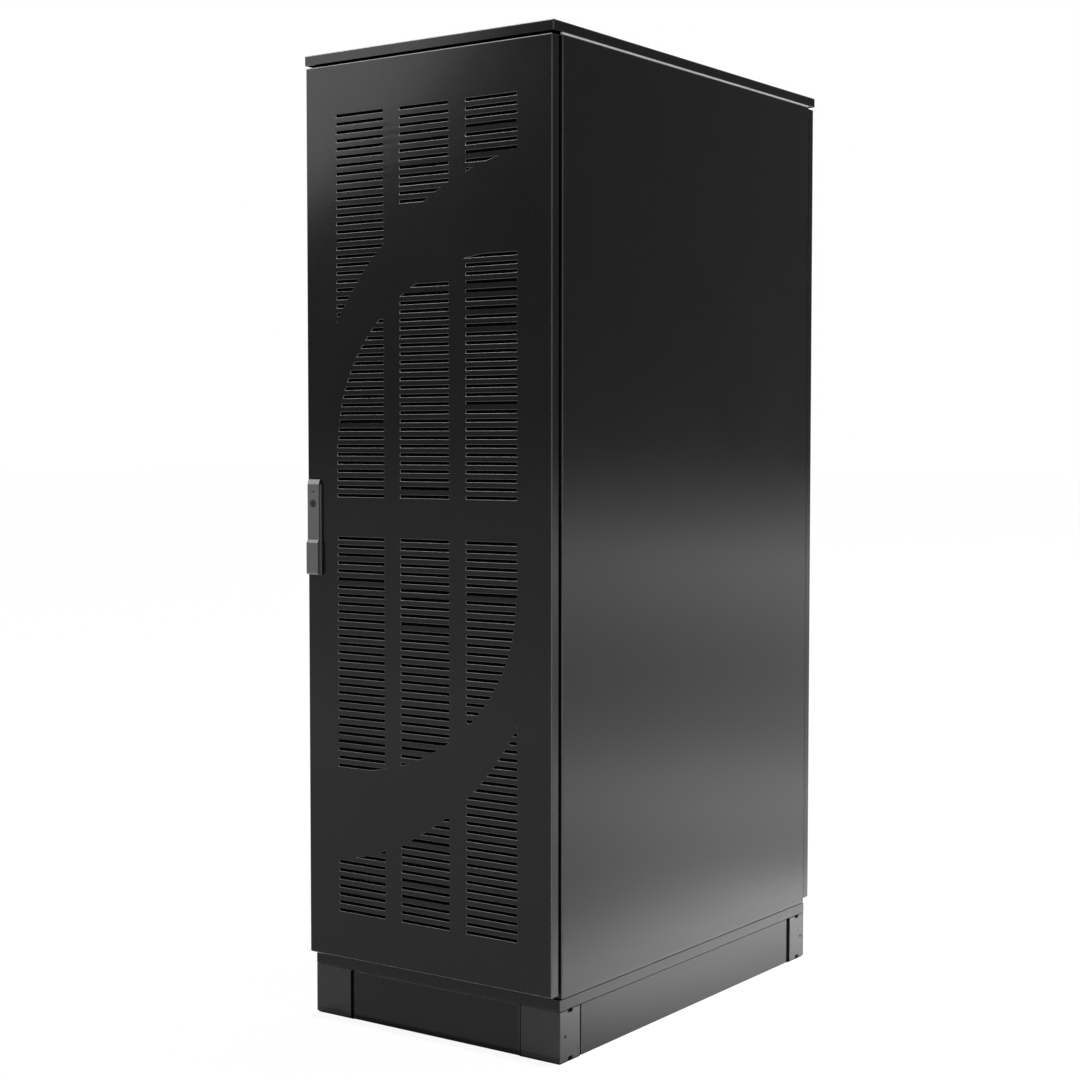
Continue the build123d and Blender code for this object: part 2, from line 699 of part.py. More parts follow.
with BuildPart() as riser_bars:
    riser(terminal_x, shelf_tops[0], shelf_tops[1], riser_depth, 2)
    riser(-terminal_x, shelf_tops[1], shelf_tops[2], riser_depth, 2)
    riser(terminal_x, shelf_tops[2], shelf_tops[3], riser_depth, 2)
    riser(-terminal_x, shelf_tops[3], shelf_tops[4], riser_depth, 2)
    riser(-terminal_x, shelf_tops[0], busbar_top - bar_thickness, main_bar_depth, 1)
    riser(terminal_x, shelf_tops[4], busbar_top - bar_thickness, main_bar_depth, 1)
save(riser_bars, "riser_bars")

# ---------------------------------------------------------------- breaker compartment

panel_face = frame_front + post_depth
with BuildPart() as breaker_panel:
    block((-shelf_half, shelf_half), (panel_face, panel_face + 15), breaker_plate)
    block((-shelf_half + 2, shelf_half - 2), (panel_face + 2, panel_face + 15),
          (breaker_plate[0] + 2, breaker_plate[1] - 2), Mode.SUBTRACT)
save(breaker_panel, "breaker_panel")

with BuildPart() as circuit_breaker:
    ends_front = breaker_front + breaker_step
    block((-breaker_half, breaker_half), (ends_front, panel_face), (breaker_bottom, breaker_top))
    block((-breaker_half, breaker_half), (breaker_front, ends_front), breaker_raised)
    round_bar((-toggle_half - 0.5, toggle_half + 0.5), toggle_depth, toggle_height, toggle_radius + 0.4,
              Mode.SUBTRACT)
    for x in (-breaker_half / 3, breaker_half / 3):
        for z in ((breaker_bottom, breaker_raised[0] - 2), (breaker_raised[1] + 2, breaker_top)):
            block((x - 1, x + 1), (ends_front, ends_front + 3), z, Mode.SUBTRACT)
save(circuit_breaker, "circuit_breaker")

with BuildPart() as breaker_toggle:
    with BuildSketch(Plane.YZ.offset(-toggle_half)):
        with Locations((depth(toggle_depth), toggle_height)):
            Circle(toggle_radius)
            with Locations(Location((0, 0), toggle_tilt)):
                with Locations((-15, 0)):
                    Rectangle(10, 6)
    extrude(amount=2 * toggle_half)
save(breaker_toggle, "breaker_toggle")

busbar_front = main_bar_depth + bar_thickness
busbar_rear = busbar_front + busbar_thickness
insulator_height = (busbar_bottom + busbar_top) / 2
with BuildPart() as busbars:
    for side in (-1, 1):
        block(sorted((side * busbar_foot[0], side * busbar_end)), (busbar_front, busbar_rear),
              (busbar_bottom, busbar_top))
        foot = sorted(side * place for place in busbar_foot)
        block(foot, (busbar_front, busbar_rear), (busbar_top, breaker_bottom))
        block(foot, (busbar_front, busbar_rear), (breaker_top, busbar_tail))
        round_bar(sum(foot) / 2, (busbar_front, busbar_rear), busbar_hole_height, 5.25, Mode.SUBTRACT)
        for x in insulator_x:
            round_bar(side * x, (busbar_front, busbar_rear), insulator_height, stud_hole_radius,
                      Mode.SUBTRACT)
save(busbars, "busbars")

with BuildPart() as busbar_insulators:
    for side in (-1, 1):
        for x in insulator_x:
            round_bar(side * x, (busbar_rear, panel_face), insulator_height, insulator_radius)
            round_bar(side * x, (busbar_front, busbar_rear), insulator_height, stud_radius)
            round_bar(side * x, (busbar_front - 4, busbar_front), insulator_height, 6.0)
save(busbar_insulators, "busbar_insulators")

with BuildPart() as earth_bar:
    block((-earth_bar_half, earth_bar_half), (earth_bar_depth - 10, earth_bar_depth + 10),
          (plate_top + 20, plate_top + 25))
    for x in both_sides(earth_bar_half - 15):
        round_bar(x, earth_bar_depth, (plate_top, plate_top + 20), 7.0)
    with Locations((0, depth(earth_bar_depth), plate_top + 22.5)):
        with GridLocations(16, 1, 9, 1):
            Cylinder(2.75, 5, mode=Mode.SUBTRACT)
save(earth_bar, "earth_bar")

# ---------------------------------------------------------------- hinges

with BuildPart() as hinge_brackets:
    for height in hinge_heights:
        low = height - arm_height / 2
        high = height + arm_height / 2
        round_bar(hinge_x, hinge_depth, (low, high), knuckle_radius)
        block((hinge_x - 26, hinge_x), (hinge_depth - 6.5, hinge_depth - 1), (low, high))
        block((hinge_x - 26, hinge_x - 20), (hinge_depth - 6.5, frame_front), (low, high))
        foot = (height - foot_height / 2, height + foot_height / 2)
        block((hinge_x - 33, hinge_x - 6), (frame_front - 3, frame_front), foot)
        round_bar(hinge_x, hinge_depth, (low, high), hinge_pin_radius + running_gap, Mode.SUBTRACT)
save(hinge_brackets, "hinge_brackets")

with BuildPart() as door_hinge_knuckles:
    for height in hinge_heights:
        for end in (-1, 1):
            near = height + end * (arm_height / 2 + knuckle_gap)
            span = tuple(sorted((near, near + end * knuckle_height)))
            round_bar(hinge_x, hinge_depth, span, knuckle_radius)
            block((hinge_x, door_half - heavy_sheet), (hinge_depth - 6.5, hinge_depth + 6.5), span)
            round_bar(hinge_x, hinge_depth, span, hinge_pin_radius, Mode.SUBTRACT)
save(door_hinge_knuckles, "door_hinge_knuckles")

with BuildPart() as hinge_pins:
    reach = arm_height / 2 + knuckle_gap + knuckle_height
    for height in hinge_heights:
        round_bar(hinge_x, hinge_depth, (height - reach, height + reach), hinge_pin_radius)
        round_bar(hinge_x, hinge_depth, (height + reach, height + reach + 2), 4.5)
save(hinge_pins, "hinge_pins")

# ---------------------------------------------------------------- door

plain_rows = {(0, row) for row in (26, 27, 33, 34)}     # left plain in the upper half's middle column


def vent_places(skipped):
    """Centres of one half's slots, measured from the pattern's centre."""
    return [
        (column * vent_column_pitch, vent_first + row * vent_pitch)
        for column in (-1, 0, 1)
        for row in range(vent_rows)
        if (column, row) not in skipped
    ]


with BuildSketch() as curved_band:
    reach = 2 * outer_curve_radius
    with Locations(outer_curve_centre):
        Circle(outer_curve_radius)
    with Locations(inner_curve_centre):
        Ellipse(*inner_curve_radii, mode=Mode.SUBTRACT)
    with Locations((inner_curve_centre[0], 0)):
        Rectangle(reach, inner_curve_centre[1] + inner_curve_radii[1], align=(Align.MIN, Align.MIN),
                  mode=Mode.SUBTRACT)
    with Locations((-reach, inner_curve_centre[1])):
        Rectangle(2 * reach, reach, align=(Align.MIN, Align.MAX), mode=Mode.SUBTRACT)


def vent_slots(plane, skipped):
    """Cut one half of the vent pattern: its rows of slots, less the curved band left plain."""
    with BuildSketch(plane) as slots:
        with Locations(*vent_places(skipped)):
            Rectangle(vent_width, vent_height)
        add(curved_band.sketch, mode=Mode.SUBTRACT)
    extrude(slots.sketch, amount=-heavy_sheet, mode=Mode.SUBTRACT)


with BuildPart() as door_panel:
    block((-door_half, door_half), (0, door_depth), (door_bottom, door_top))
    soften(door_panel, door_panel.faces().sort_by(Axis.Y)[0], fold_radius)
    block((-door_half + heavy_sheet, door_half - heavy_sheet), (heavy_sheet, door_depth - heavy_sheet),
          (door_bottom + heavy_sheet, door_top - heavy_sheet), Mode.SUBTRACT)
    block((-door_half + lip, door_half - lip), (door_depth - heavy_sheet, door_depth),
          (door_bottom + lip, door_top - lip), Mode.SUBTRACT)
    for height in hinge_heights:
        block((door_half - lip - 1, door_half - heavy_sheet), (door_depth - heavy_sheet, door_depth),
              (height - notch_half, height + notch_half), Mode.SUBTRACT)
    front_origin = (0, door_face, vent_centre)
    vent_slots(Plane(origin=front_origin, x_dir=(1, 0, 0), z_dir=(0, -1, 0)), plain_rows)
    vent_slots(Plane(origin=front_origin, x_dir=(-1, 0, 0), z_dir=(0, -1, 0)), set())
    block((lock_x - boss_half - 0.2, lock_x + boss_half + 0.2), (0, heavy_sheet),
          (boss_bottom - 0.2, boss_top + 0.2), Mode.SUBTRACT)
    round_bar(lock_x, (0, heavy_sheet), screw_boss_height, 4.2, Mode.SUBTRACT)
save(door_panel, "door_panel")

with BuildPart() as door_frame:
    block((-tube_outer, tube_outer), (heavy_sheet, tube_rear), (tube_bottom, tube_top))
    block((-tube_inner, tube_inner), (heavy_sheet, tube_rear), (tube_bottom + 20, tube_top - 20),
          Mode.SUBTRACT)
    for side in (-1, 1):
        wall_x = side * (tube_outer + tube_inner) / 2
        block((wall_x - 8, wall_x + 8), (heavy_sheet, tube_rear - heavy_sheet),
              (tube_bottom + 22, tube_top - 22), Mode.SUBTRACT)
        with Locations(Location((wall_x, depth(tube_rear - 1), vent_centre), (90, 0, 0))):
            with GridLocations(1, system_hole_pitch, 1, system_hole_count):
                Cylinder(tube_hole_radius, 4, mode=Mode.SUBTRACT)
    for height in strap_heights:
        block((-tube_inner, tube_inner), (filter_rear, filter_rear + heavy_sheet),
              (height - strap_half, height + strap_half))
save(door_frame, "door_frame")

with BuildPart() as door_filters:
    for ends in filter_ends:
        block((-filter_half, filter_half), (heavy_sheet, filter_rear), ends)
save(door_filters, "door_filters")

seal_inner = seal_outer - seal_width
with BuildPart() as door_gasket:
    block((-seal_outer, seal_outer), (tube_rear, frame_front - 0.3), (seal_bottom, seal_top))
    block((-seal_inner, seal_inner), (tube_rear, frame_front - 0.3),
          (seal_bottom + seal_width, seal_top - seal_width), Mode.SUBTRACT)
save(door_gasket, "door_gasket")

with BuildPart() as rear_gasket:
    seal_depths = (frame_rear + 0.3, rim)
    block((-rear_seal_outer, rear_seal_outer), seal_depths, rear_seal_ends[0])
    block((-rear_seal_inner, rear_seal_inner), seal_depths, rear_seal_ends[1], Mode.SUBTRACT)
save(rear_gasket, "rear_gasket")

# ---------------------------------------------------------------- lock, handle and rods

with BuildPart() as lock_housing:
    block((lock_x - housing_half, lock_x + housing_half), (-plate_thickness, 0),
          (handle_bottom, housing_top))
    soften(lock_housing, lock_housing.faces().sort_by(Axis.Y)[0], 1.0)
    block((lock_x - boss_half, lock_x + boss_half), (0, boss_rear), (boss_bottom, boss_top))
    round_bar(lock_x, (0, heavy_sheet), screw_boss_height, 4.0)
    round_bar(lock_x, (-plate_thickness, boss_rear), spindle_height, drum_radius, Mode.SUBTRACT)
    round_bar(lock_x, (-1.5, heavy_sheet), screw_boss_height, 2.0, Mode.SUBTRACT)
    for x in (lock_x - boss_screw_x, lock_x + boss_screw_x):
        round_bar(x, (3, boss_rear), boss_bottom + 3.4, 1.3, Mode.SUBTRACT)
save(lock_housing, "lock_housing")

with BuildPart() as housing_screws:
    round_bar(lock_x, (-1.5, heavy_sheet), screw_boss_height, 1.95)
    round_bar(lock_x, (heavy_sheet, heavy_sheet + 3), screw_boss_height, 5.5)
    for x in (lock_x - boss_screw_x, lock_x + boss_screw_x):
        round_bar(x, (3, boss_rear), boss_bottom + 3.4, 1.25)
        round_bar(x, (boss_rear, boss_rear + 1.5), boss_bottom + 3.4, 2.6)
save(housing_screws, "housing_screws")

ear_top = handle_top - 0.5
bevel_slope = (bevel_top - lever_front) / (handle_top - 0.5 - bevel_foot)
with BuildPart() as lock_spindle:
    round_bar(lock_x, (lever_back, drum_rear), spindle_height, drum_radius - running_gap)
    round_bar(lock_x, (drum_rear, cam_rear), spindle_height, 14.5)
    round_bar(lock_x, (cam_rear, rod_planes[1][1] + 0.3), spindle_height + crank, crank_pin_radius)
    round_bar(lock_x, (cam_rear, rod_planes[-1][1] + 0.3), spindle_height - crank, crank_pin_radius)
    with BuildSketch(Plane.YZ.offset(lock_x - ear_half)):
        with BuildLine():
            Polyline((depth(lever_back), ear_bottom), (depth(lever_back), ear_top),
                     (depth(lever_front + bevel_slope * (ear_top - bevel_foot)), ear_top),
                     (depth(lever_front), bevel_foot), (depth(lever_front), ear_bottom), close=True)
        make_face()
    extrude(amount=2 * ear_half)
    round_bar((lock_x - ear_half, lock_x + ear_half), lever_pin_depth, lever_pin_height,
              lever_pin_radius, Mode.SUBTRACT)
save(lock_spindle, "lock_spindle")

with BuildPart() as handle_lever:
    with BuildSketch(Plane.YZ.offset(lock_x - lever_half)):
        with BuildLine():
            Polyline((depth(lever_back), handle_top - 0.5), (depth(lever_back), handle_bottom + 1),
                     (depth(grip_front + 2), handle_bottom + 1), (depth(grip_front), handle_bottom + 4),
                     (depth(grip_front), grip_top), (depth(lever_front), grip_top + 6),
                     (depth(lever_front), bevel_foot), (depth(bevel_top), handle_top - 0.5), close=True)
        make_face()
    extrude(amount=2 * lever_half)
    long_edges = handle_lever.edges().filter_by(lambda edge: abs(edge.tangent_at(0).X) < 0.1)
    fillet(long_edges.filter_by(lambda edge: edge.center().Y < depth(lever_front + 0.5)), 0.8)
    block((lock_x - ear_half - 0.3, lock_x + ear_half + 0.3), (lever_front - 1, lever_back + 1),
          (ear_bottom - 1.5, handle_top), Mode.SUBTRACT)
    round_bar((lock_x - lever_half, lock_x + lever_half), lever_pin_depth, lever_pin_height,
              lever_pin_radius + running_gap, Mode.SUBTRACT)
    round_bar(lock_x, (lever_front, lever_back), key_height, key_radius + running_gap, Mode.SUBTRACT)
    block((lock_x - 11, lock_x + 11), (grip_front + 3.5, lever_back), (900.0, 950.0), Mode.SUBTRACT)
save(handle_lever, "handle_lever")

with BuildPart() as lever_pin:
    round_bar((lock_x - lever_half + 0.2, lock_x + lever_half - 0.2), lever_pin_depth,
              lever_pin_height, lever_pin_radius)
save(lever_pin, "lever_pin")

with BuildPart() as key_plug:
    round_bar(lock_x, (lever_front - 0.6, lever_back - 0.2), key_height, key_radius)
    block((lock_x - 0.6, lock_x + 0.6), (lever_front - 0.6, lever_front + 2.5),
          (key_height - 4, key_height + 4), Mode.SUBTRACT)
save(key_plug, "key_plug")


def lock_rod(end, peg_height):
    """Flat rod from its yoke at the spindle to the door's edge, with a peg into the post."""
    plane = rod_planes[end]
    near = spindle_height + end * (crank - 2.7)
    far = spindle_height + end * (crank + 5.2)
    with BuildPart() as rod:
        yoke_x = sorted((lock_x - end * 16.4, lock_x + end * 6.2))
        block(yoke_x, plane, sorted((near - end * 2, far + end * 4)))
        slot_x = sorted((lock_x - end * 13.0, lock_x + end * 2.9))
        block(slot_x, plane, sorted((near, far)), Mode.SUBTRACT)
        shaft_x = (lock_x - rod_width / 2, lock_x + rod_width / 2)
        block(shaft_x, plane, sorted((far + end * 2, rod_ends[end])))
        round_bar(lock_x, (plane[1], 42.0), peg_height, peg_radius)
    return rod


save(lock_rod(1, peg_heights[0]), "rod_upper")
save(lock_rod(-1, peg_heights[1]), "rod_lower")

with BuildPart() as rod_guides:
    for end, heights in guide_heights.items():
        for height in heights:
            z = (height - 8, height + 8)
            block((lock_x - 11, lock_x + 11), (heavy_sheet, 17), z)
            passage = (rod_planes[end][0] - 0.3, rod_planes[end][1] + 0.3)
            block((lock_x - 6.4, lock_x + 6.4), passage, z, Mode.SUBTRACT)
save(rod_guides, "rod_guides")
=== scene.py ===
import math

import bpy
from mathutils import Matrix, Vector


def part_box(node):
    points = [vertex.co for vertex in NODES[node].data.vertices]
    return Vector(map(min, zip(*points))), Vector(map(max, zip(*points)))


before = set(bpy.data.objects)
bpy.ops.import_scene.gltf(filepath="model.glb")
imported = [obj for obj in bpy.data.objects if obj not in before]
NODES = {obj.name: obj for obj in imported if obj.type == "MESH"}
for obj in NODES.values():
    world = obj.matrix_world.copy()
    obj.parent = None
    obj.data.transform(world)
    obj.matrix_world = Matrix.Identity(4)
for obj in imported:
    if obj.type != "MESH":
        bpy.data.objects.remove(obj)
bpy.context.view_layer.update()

# ---------------------------------------------------------------- camera: place in metres, turn in degrees
CAMERA_PLACE = (2.34427, -3.41656, 1.14973)
CAMERA_TURN = (87.199, -0.0195, 35.41)
CAMERA_LENS = 65.4
SENSOR_WIDTH = 36.0
CAMERA_REACH = 500.0

# ---------------------------------------------------------------- finish of the metal edges, in metres
WELD = 0.00001
FLAT_ANGLE = math.radians(0.5)          # faces closer than this are one flat
EDGE_ANGLE = math.radians(35.0)         # edges sharper than this are rounded, on pieces with no weights
CREASE_ANGLE = math.radians(50.0)       # edges sharper than this stay creases in the shading
VENT_ROUND = 0.00095
RAIL_ROUND = 0.0008
ROUND_SEGMENTS = 2
LARGE_FACES_FIRST = 100                 # the most weight that large faces can have in the shading

# ---------------------------------------------------------------- materials
FLAT_NORMAL = 0.995                     # a normal whose largest component is over this belongs to a flat
BEND_NORMAL = 0.93                      # and under this to a bend
BEND_HIGHLIGHT_TONES = (0.7, 1.3)                 # darkest and palest painted highlight on a bend, as shares of its level
FOLD_SPECULAR = 0.7
MIX_FACTOR, MIX_FIRST, MIX_SECOND, MIX_RESULT = 0, 6, 7, 2      # colour sockets of a Mix node
DRAWN_DEPTH = 0.00002                   # relief of drawn metal, in metres
PLASTIC_DEPTH = 0.00005                 # relief of moulded pieces
FOAM_DEPTH = 0.0003
FOAM_TONES = (0.006, 0.024, 0.034)      # pores, walls and skin

# ---------------------------------------------------------------- stage
FLOOR_REACH = 60.0
FLOOR_GLOW = 1.04
FLOOR_GLOW_SHARE = 0.88                 # how much of the floor's look to the camera is its own glow
SURROUND_LEVEL = 0.2
BACKDROP_LEVEL = 1.0
WHITE = (1.0, 1.0, 1.0, 1.0)
EVEN_FLOOR_POWER = 1.7
EVEN_FLOOR_PLACE = (0.0, 0.0, 5.0)

# Soft boxes: name, place, target, width, height, watts
PIECE_LIGHTS = (
    ("overhead", (-1.6, -1.2, 4.6), (-0.4, -0.6, 1.0), 2.6, 2.6, 150.0),
    ("backdrop", (-5.2, 7.4, 3.7), (0.0, 0.0, 1.2), 11.0, 7.0, 320.0),
)
KEY_LIGHT = ("front_left", (-4.64, -4.15, 3.80), (-0.3, -0.5, 1.85), 3.4, 3.4, 88.0)
FLOOR_LIGHTS = (
    ("near_floor", (0.55, 0.5, 0.35), (0.55, 0.5, 0.0), 0.3, 1.6, 11.5),
    ("back_floor", (1.9, 4.3, 1.2), (1.9, 4.3, 0.0), 1.2, 2.0, 5.0),
    ("rear_floor", (1.5, 2.0, 1.4), (1.5, 2.0, 0.0), 1.4, 1.4, 39.0),
    ("far_floor", (9.0, 13.0, 7.0), (9.0, 13.0, 0.0), 12.0, 12.0, 1250.0),
)


# ================================================================ node helpers
def new_material(name):
    """A material with a Principled shader; returns it, its tree and the shader."""
    material = bpy.data.materials.new(name)
    material.use_nodes = True
    tree = material.node_tree
    return material, tree, tree.nodes["Principled BSDF"]


def object_coordinates(tree, scale=(1.0, 1.0, 1.0)):
    """The piece's own coordinates in metres, times scale."""
    coordinates = tree.nodes.new("ShaderNodeTexCoord")
    mapping = tree.nodes.new("ShaderNodeMapping")
    mapping.inputs["Scale"].default_value = scale
    tree.links.new(coordinates.outputs["Object"], mapping.inputs["Vector"])
    return mapping.outputs["Vector"]


def noise(tree, vector, scale, detail=3.0, roughness=0.5, distortion=0.0):
    """A fractal noise field with scale features to the metre."""
    node = tree.nodes.new("ShaderNodeTexNoise")
    node.inputs["Scale"].default_value = scale
    node.inputs["Detail"].default_value = detail
    node.inputs["Roughness"].default_value = roughness
    node.inputs["Distortion"].default_value = distortion
    tree.links.new(vector, node.inputs["Vector"])
    return node.outputs["Fac"]


def cells(tree, vector, scale, output="Distance"):
    """A Voronoi cell field with scale cells to the metre."""
    node = tree.nodes.new("ShaderNodeTexVoronoi")
    node.inputs["Scale"].default_value = scale
    tree.links.new(vector, node.inputs["Vector"])
    return node.outputs[output]


def ramp(tree, factor, stops):
    """A colour ramp from (place, colour) stops."""
    node = tree.nodes.new("ShaderNodeValToRGB")
    ends = node.color_ramp.elements
    while len(ends) < len(stops):
        ends.new(0.5)
    for end, (place, colour) in zip(ends, stops):
        end.position = place
        end.color = (*colour, 1.0)
    tree.links.new(factor, node.inputs["Fac"])
    return node.outputs["Color"]


def spread(tree, factor, low, high, start=0.0, stop=1.0):
    """The field's range from start to stop, stretched to low..high."""
    node = tree.nodes.new("ShaderNodeMapRange")
    node.inputs["From Min"].default_value = start
    node.inputs["From Max"].default_value = stop
    node.inputs["To Min"].default_value = low
    node.inputs["To Max"].default_value = high
    tree.links.new(factor, node.inputs["Value"])
    return node.outputs["Result"]


def calculate(tree, operation, *values):
    """A Math node on fields and plain numbers."""
    node = tree.nodes.new("ShaderNodeMath")
    node.operation = operation
    for value, socket in zip(values, node.inputs):
        if isinstance(value, float):
            socket.default_value = value
        else:
            tree.links.new(value, socket)
    return node.outputs["Value"]


def add(tree, first, second, weight):
    """first + weight x second."""
    return calculate(tree, "MULTIPLY_ADD", second, weight, first)


def blend(tree, factor, first, second):
    """first where factor is 0, second where it is 1."""
    node = tree.nodes.new("ShaderNodeMix")
    node.data_type = "RGBA"
    tree.links.new(factor, node.inputs[MIX_FACTOR])
    tree.links.new(first, node.inputs[MIX_FIRST])
    tree.links.new(second, node.inputs[MIX_SECOND])
    return node.outputs[MIX_RESULT]


# the mask where powder coats get their painted highlight
def folds(tree):
    """1 on rounded bends and rims, whose normals lean between the piece's own axes, and 0 on its flats."""
    coordinates = tree.nodes.new("ShaderNodeTexCoord")
    split = tree.nodes.new("ShaderNodeSeparateXYZ")
    tree.links.new(coordinates.outputs["Normal"], split.inputs["Vector"])
    along_x, along_y, along_z = (calculate(tree, "ABSOLUTE", split.outputs[axis]) for axis in "XYZ")
    largest = calculate(tree, "MAXIMUM", calculate(tree, "MAXIMUM", along_x, along_y), along_z)
    return spread(tree, largest, 0.0, 1.0, FLAT_NORMAL, BEND_NORMAL)


def bump(tree, shader, height, depth):
    """Relief on the shader from a height field, depth metres from 0 to 1."""
    node = tree.nodes.new("ShaderNodeBump")
    node.inputs["Strength"].default_value = 1.0
    node.inputs["Distance"].default_value = depth
    tree.links.new(height, node.inputs["Height"])
    tree.links.new(node.outputs["Normal"], shader.inputs["Normal"])


def grey(level):
    """A linear grey."""
    return (level, level, level)


def tones(tree, factor, start, low, stop, high):
    """A ramp from colour low at start to colour high at stop."""
    return ramp(tree, factor, [(start, low), (stop, high)])


# ================================================================ materials
def powder_coat(name, low, high, gloss, coarse=230.0, depth=0.00006, specular=0.5, bend_highlight_grey=None):
    """Baked powder paint: orange peel, fine grit, slow drifts in gloss, and on bends a painted highlight of
    paler colour and a higher specular level.

    low and high are its colours, gloss its roughness from and to, and the last argument the grey level of
    the painted highlight on its bends.
    """
    material, tree, shader = new_material(name)
    place = object_coordinates(tree)
    drift = noise(tree, place, 5.0, detail=4.0, roughness=0.6)
    peel = noise(tree, place, coarse, detail=2.0, roughness=0.45)
    grit = noise(tree, place, 1400.0, detail=2.0, roughness=0.6)
    tone = add(tree, peel, drift, 0.6)
    base = tones(tree, tone, 0.45, low, 1.1, high)
    shader.inputs["Specular IOR Level"].default_value = specular
    # bends get a painted highlight: paler base colour and a higher specular level
    if bend_highlight_grey:
        bend = folds(tree)
        dark, pale = (grey(share * bend_highlight_grey) for share in BEND_HIGHLIGHT_TONES)
        base = blend(tree, bend, base, tones(tree, tone, 0.45, dark, 1.1, pale))
        tree.links.new(spread(tree, bend, specular, FOLD_SPECULAR), shader.inputs["Specular IOR Level"])
    tree.links.new(base, shader.inputs["Base Color"])
    satin = add(tree, drift, grit, 0.5)
    tree.links.new(spread(tree, satin, gloss[0], gloss[1], 0.45, 1.05), shader.inputs["Roughness"])
    bump(tree, shader, add(tree, peel, grit, 0.35), depth)
    return material


def moulded_plastic(name, low, high, gloss, grain=1100.0):
    """Injection-moulded plastic with a spark-eroded grain, grain pits to the metre."""
    material, tree, shader = new_material(name)
    place = object_coordinates(tree)
    drift = noise(tree, place, 9.0)
    pits = cells(tree, place, grain)
    flow = noise(tree, place, 60.0, detail=2.0)
    base = tones(tree, add(tree, drift, flow, 0.4), 0.35, low, 1.0, high)
    tree.links.new(base, shader.inputs["Base Color"])
    tree.links.new(spread(tree, flow, gloss[0], gloss[1], 0.3, 0.7), shader.inputs["Roughness"])
    bump(tree, shader, pits, PLASTIC_DEPTH)
    return material


def plated_steel(name):
    """Zinc-plated steel: cloudy bright chromate over a fine drawn grain."""
    material, tree, shader = new_material(name)
    place = object_coordinates(tree)
    clouds = noise(tree, place, 40.0, detail=4.0, roughness=0.6, distortion=0.6)
    drawn = noise(tree, object_coordinates(tree, (1.0, 1.0, 0.04)), 1500.0, roughness=0.6)
    spangle = cells(tree, place, 260.0, output="Color")
    blue, plain, yellow = (0.42, 0.43, 0.45), (0.58, 0.58, 0.57), (0.66, 0.63, 0.55)
    base = ramp(tree, clouds, [(0.3, blue), (0.6, plain), (0.8, yellow)])
    shader.inputs["Metallic"].default_value = 1.0
    tree.links.new(base, shader.inputs["Base Color"])
    rough = add(tree, clouds, spangle, 0.25)
    tree.links.new(spread(tree, rough, 0.26, 0.48, 0.3, 0.95), shader.inputs["Roughness"])
    bump(tree, shader, drawn, DRAWN_DEPTH)
    return material


def bare_metal(name, dark, bright, tarnish):
    """Copper or brass bar: drawn grain and patches of tarnish."""
    material, tree, shader = new_material(name)
    place = object_coordinates(tree)
    patches = noise(tree, place, 28.0, detail=5.0, roughness=0.62, distortion=0.8)
    drawn = noise(tree, object_coordinates(tree, (0.05, 1.0, 1.0)), 1200.0, roughness=0.6)
    base = ramp(tree, patches, [(0.32, tarnish), (0.48, dark), (0.72, bright)])
    shader.inputs["Metallic"].default_value = 1.0
    tree.links.new(base, shader.inputs["Base Color"])
    rough = add(tree, patches, drawn, 0.35)
    tree.links.new(spread(tree, rough, 0.42, 0.2, 0.4, 1.0), shader.inputs["Roughness"])
    bump(tree, shader, drawn, DRAWN_DEPTH)
    return material


def foam_seal(name, level, pitch=900.0):
    """Foam: open pores, pitch to the metre, on a charcoal skin; level scales its brightness."""
    material, tree, shader = new_material(name)
    place = object_coordinates(tree)
    pores = cells(tree, place, pitch)
    lumps = noise(tree, place, 120.0, roughness=0.6)
    pore, wall, skin = (grey(tone * level) for tone in FOAM_TONES)
    base = ramp(tree, pores, [(0.0, pore), (0.5, wall), (1.0, skin)])
    tree.links.new(base, shader.inputs["Base Color"])
    tree.links.new(spread(tree, lumps, 0.82, 0.96, 0.3, 0.7), shader.inputs["Roughness"])
    shader.inputs["Specular IOR Level"].default_value = 0.3 * level
    bump(tree, shader, add(tree, pores, lumps, 0.6), FOAM_DEPTH)
    return material


def moulding_compound(name):
    """Red-brown glass-filled compound of a busbar insulator, with fibre streaks."""
    material, tree, shader = new_material(name)
    place = object_coordinates(tree)
    streaks = object_coordinates(tree, (1.0, 1.0, 0.2))
    fibres = noise(tree, streaks, 420.0, detail=5.0, roughness=0.7, distortion=1.5)
    tone = add(tree, noise(tree, place, 35.0), fibres, 0.5)
    base = tones(tree, tone, 0.4, (0.11, 0.012, 0.008), 1.05, (0.27, 0.035, 0.02))
    tree.links.new(base, shader.inputs["Base Color"])
    tree.links.new(spread(tree, fibres, 0.3, 0.5, 0.3, 0.7), shader.inputs["Roughness"])
    bump(tree, shader, fibres, PLASTIC_DEPTH)
    return material


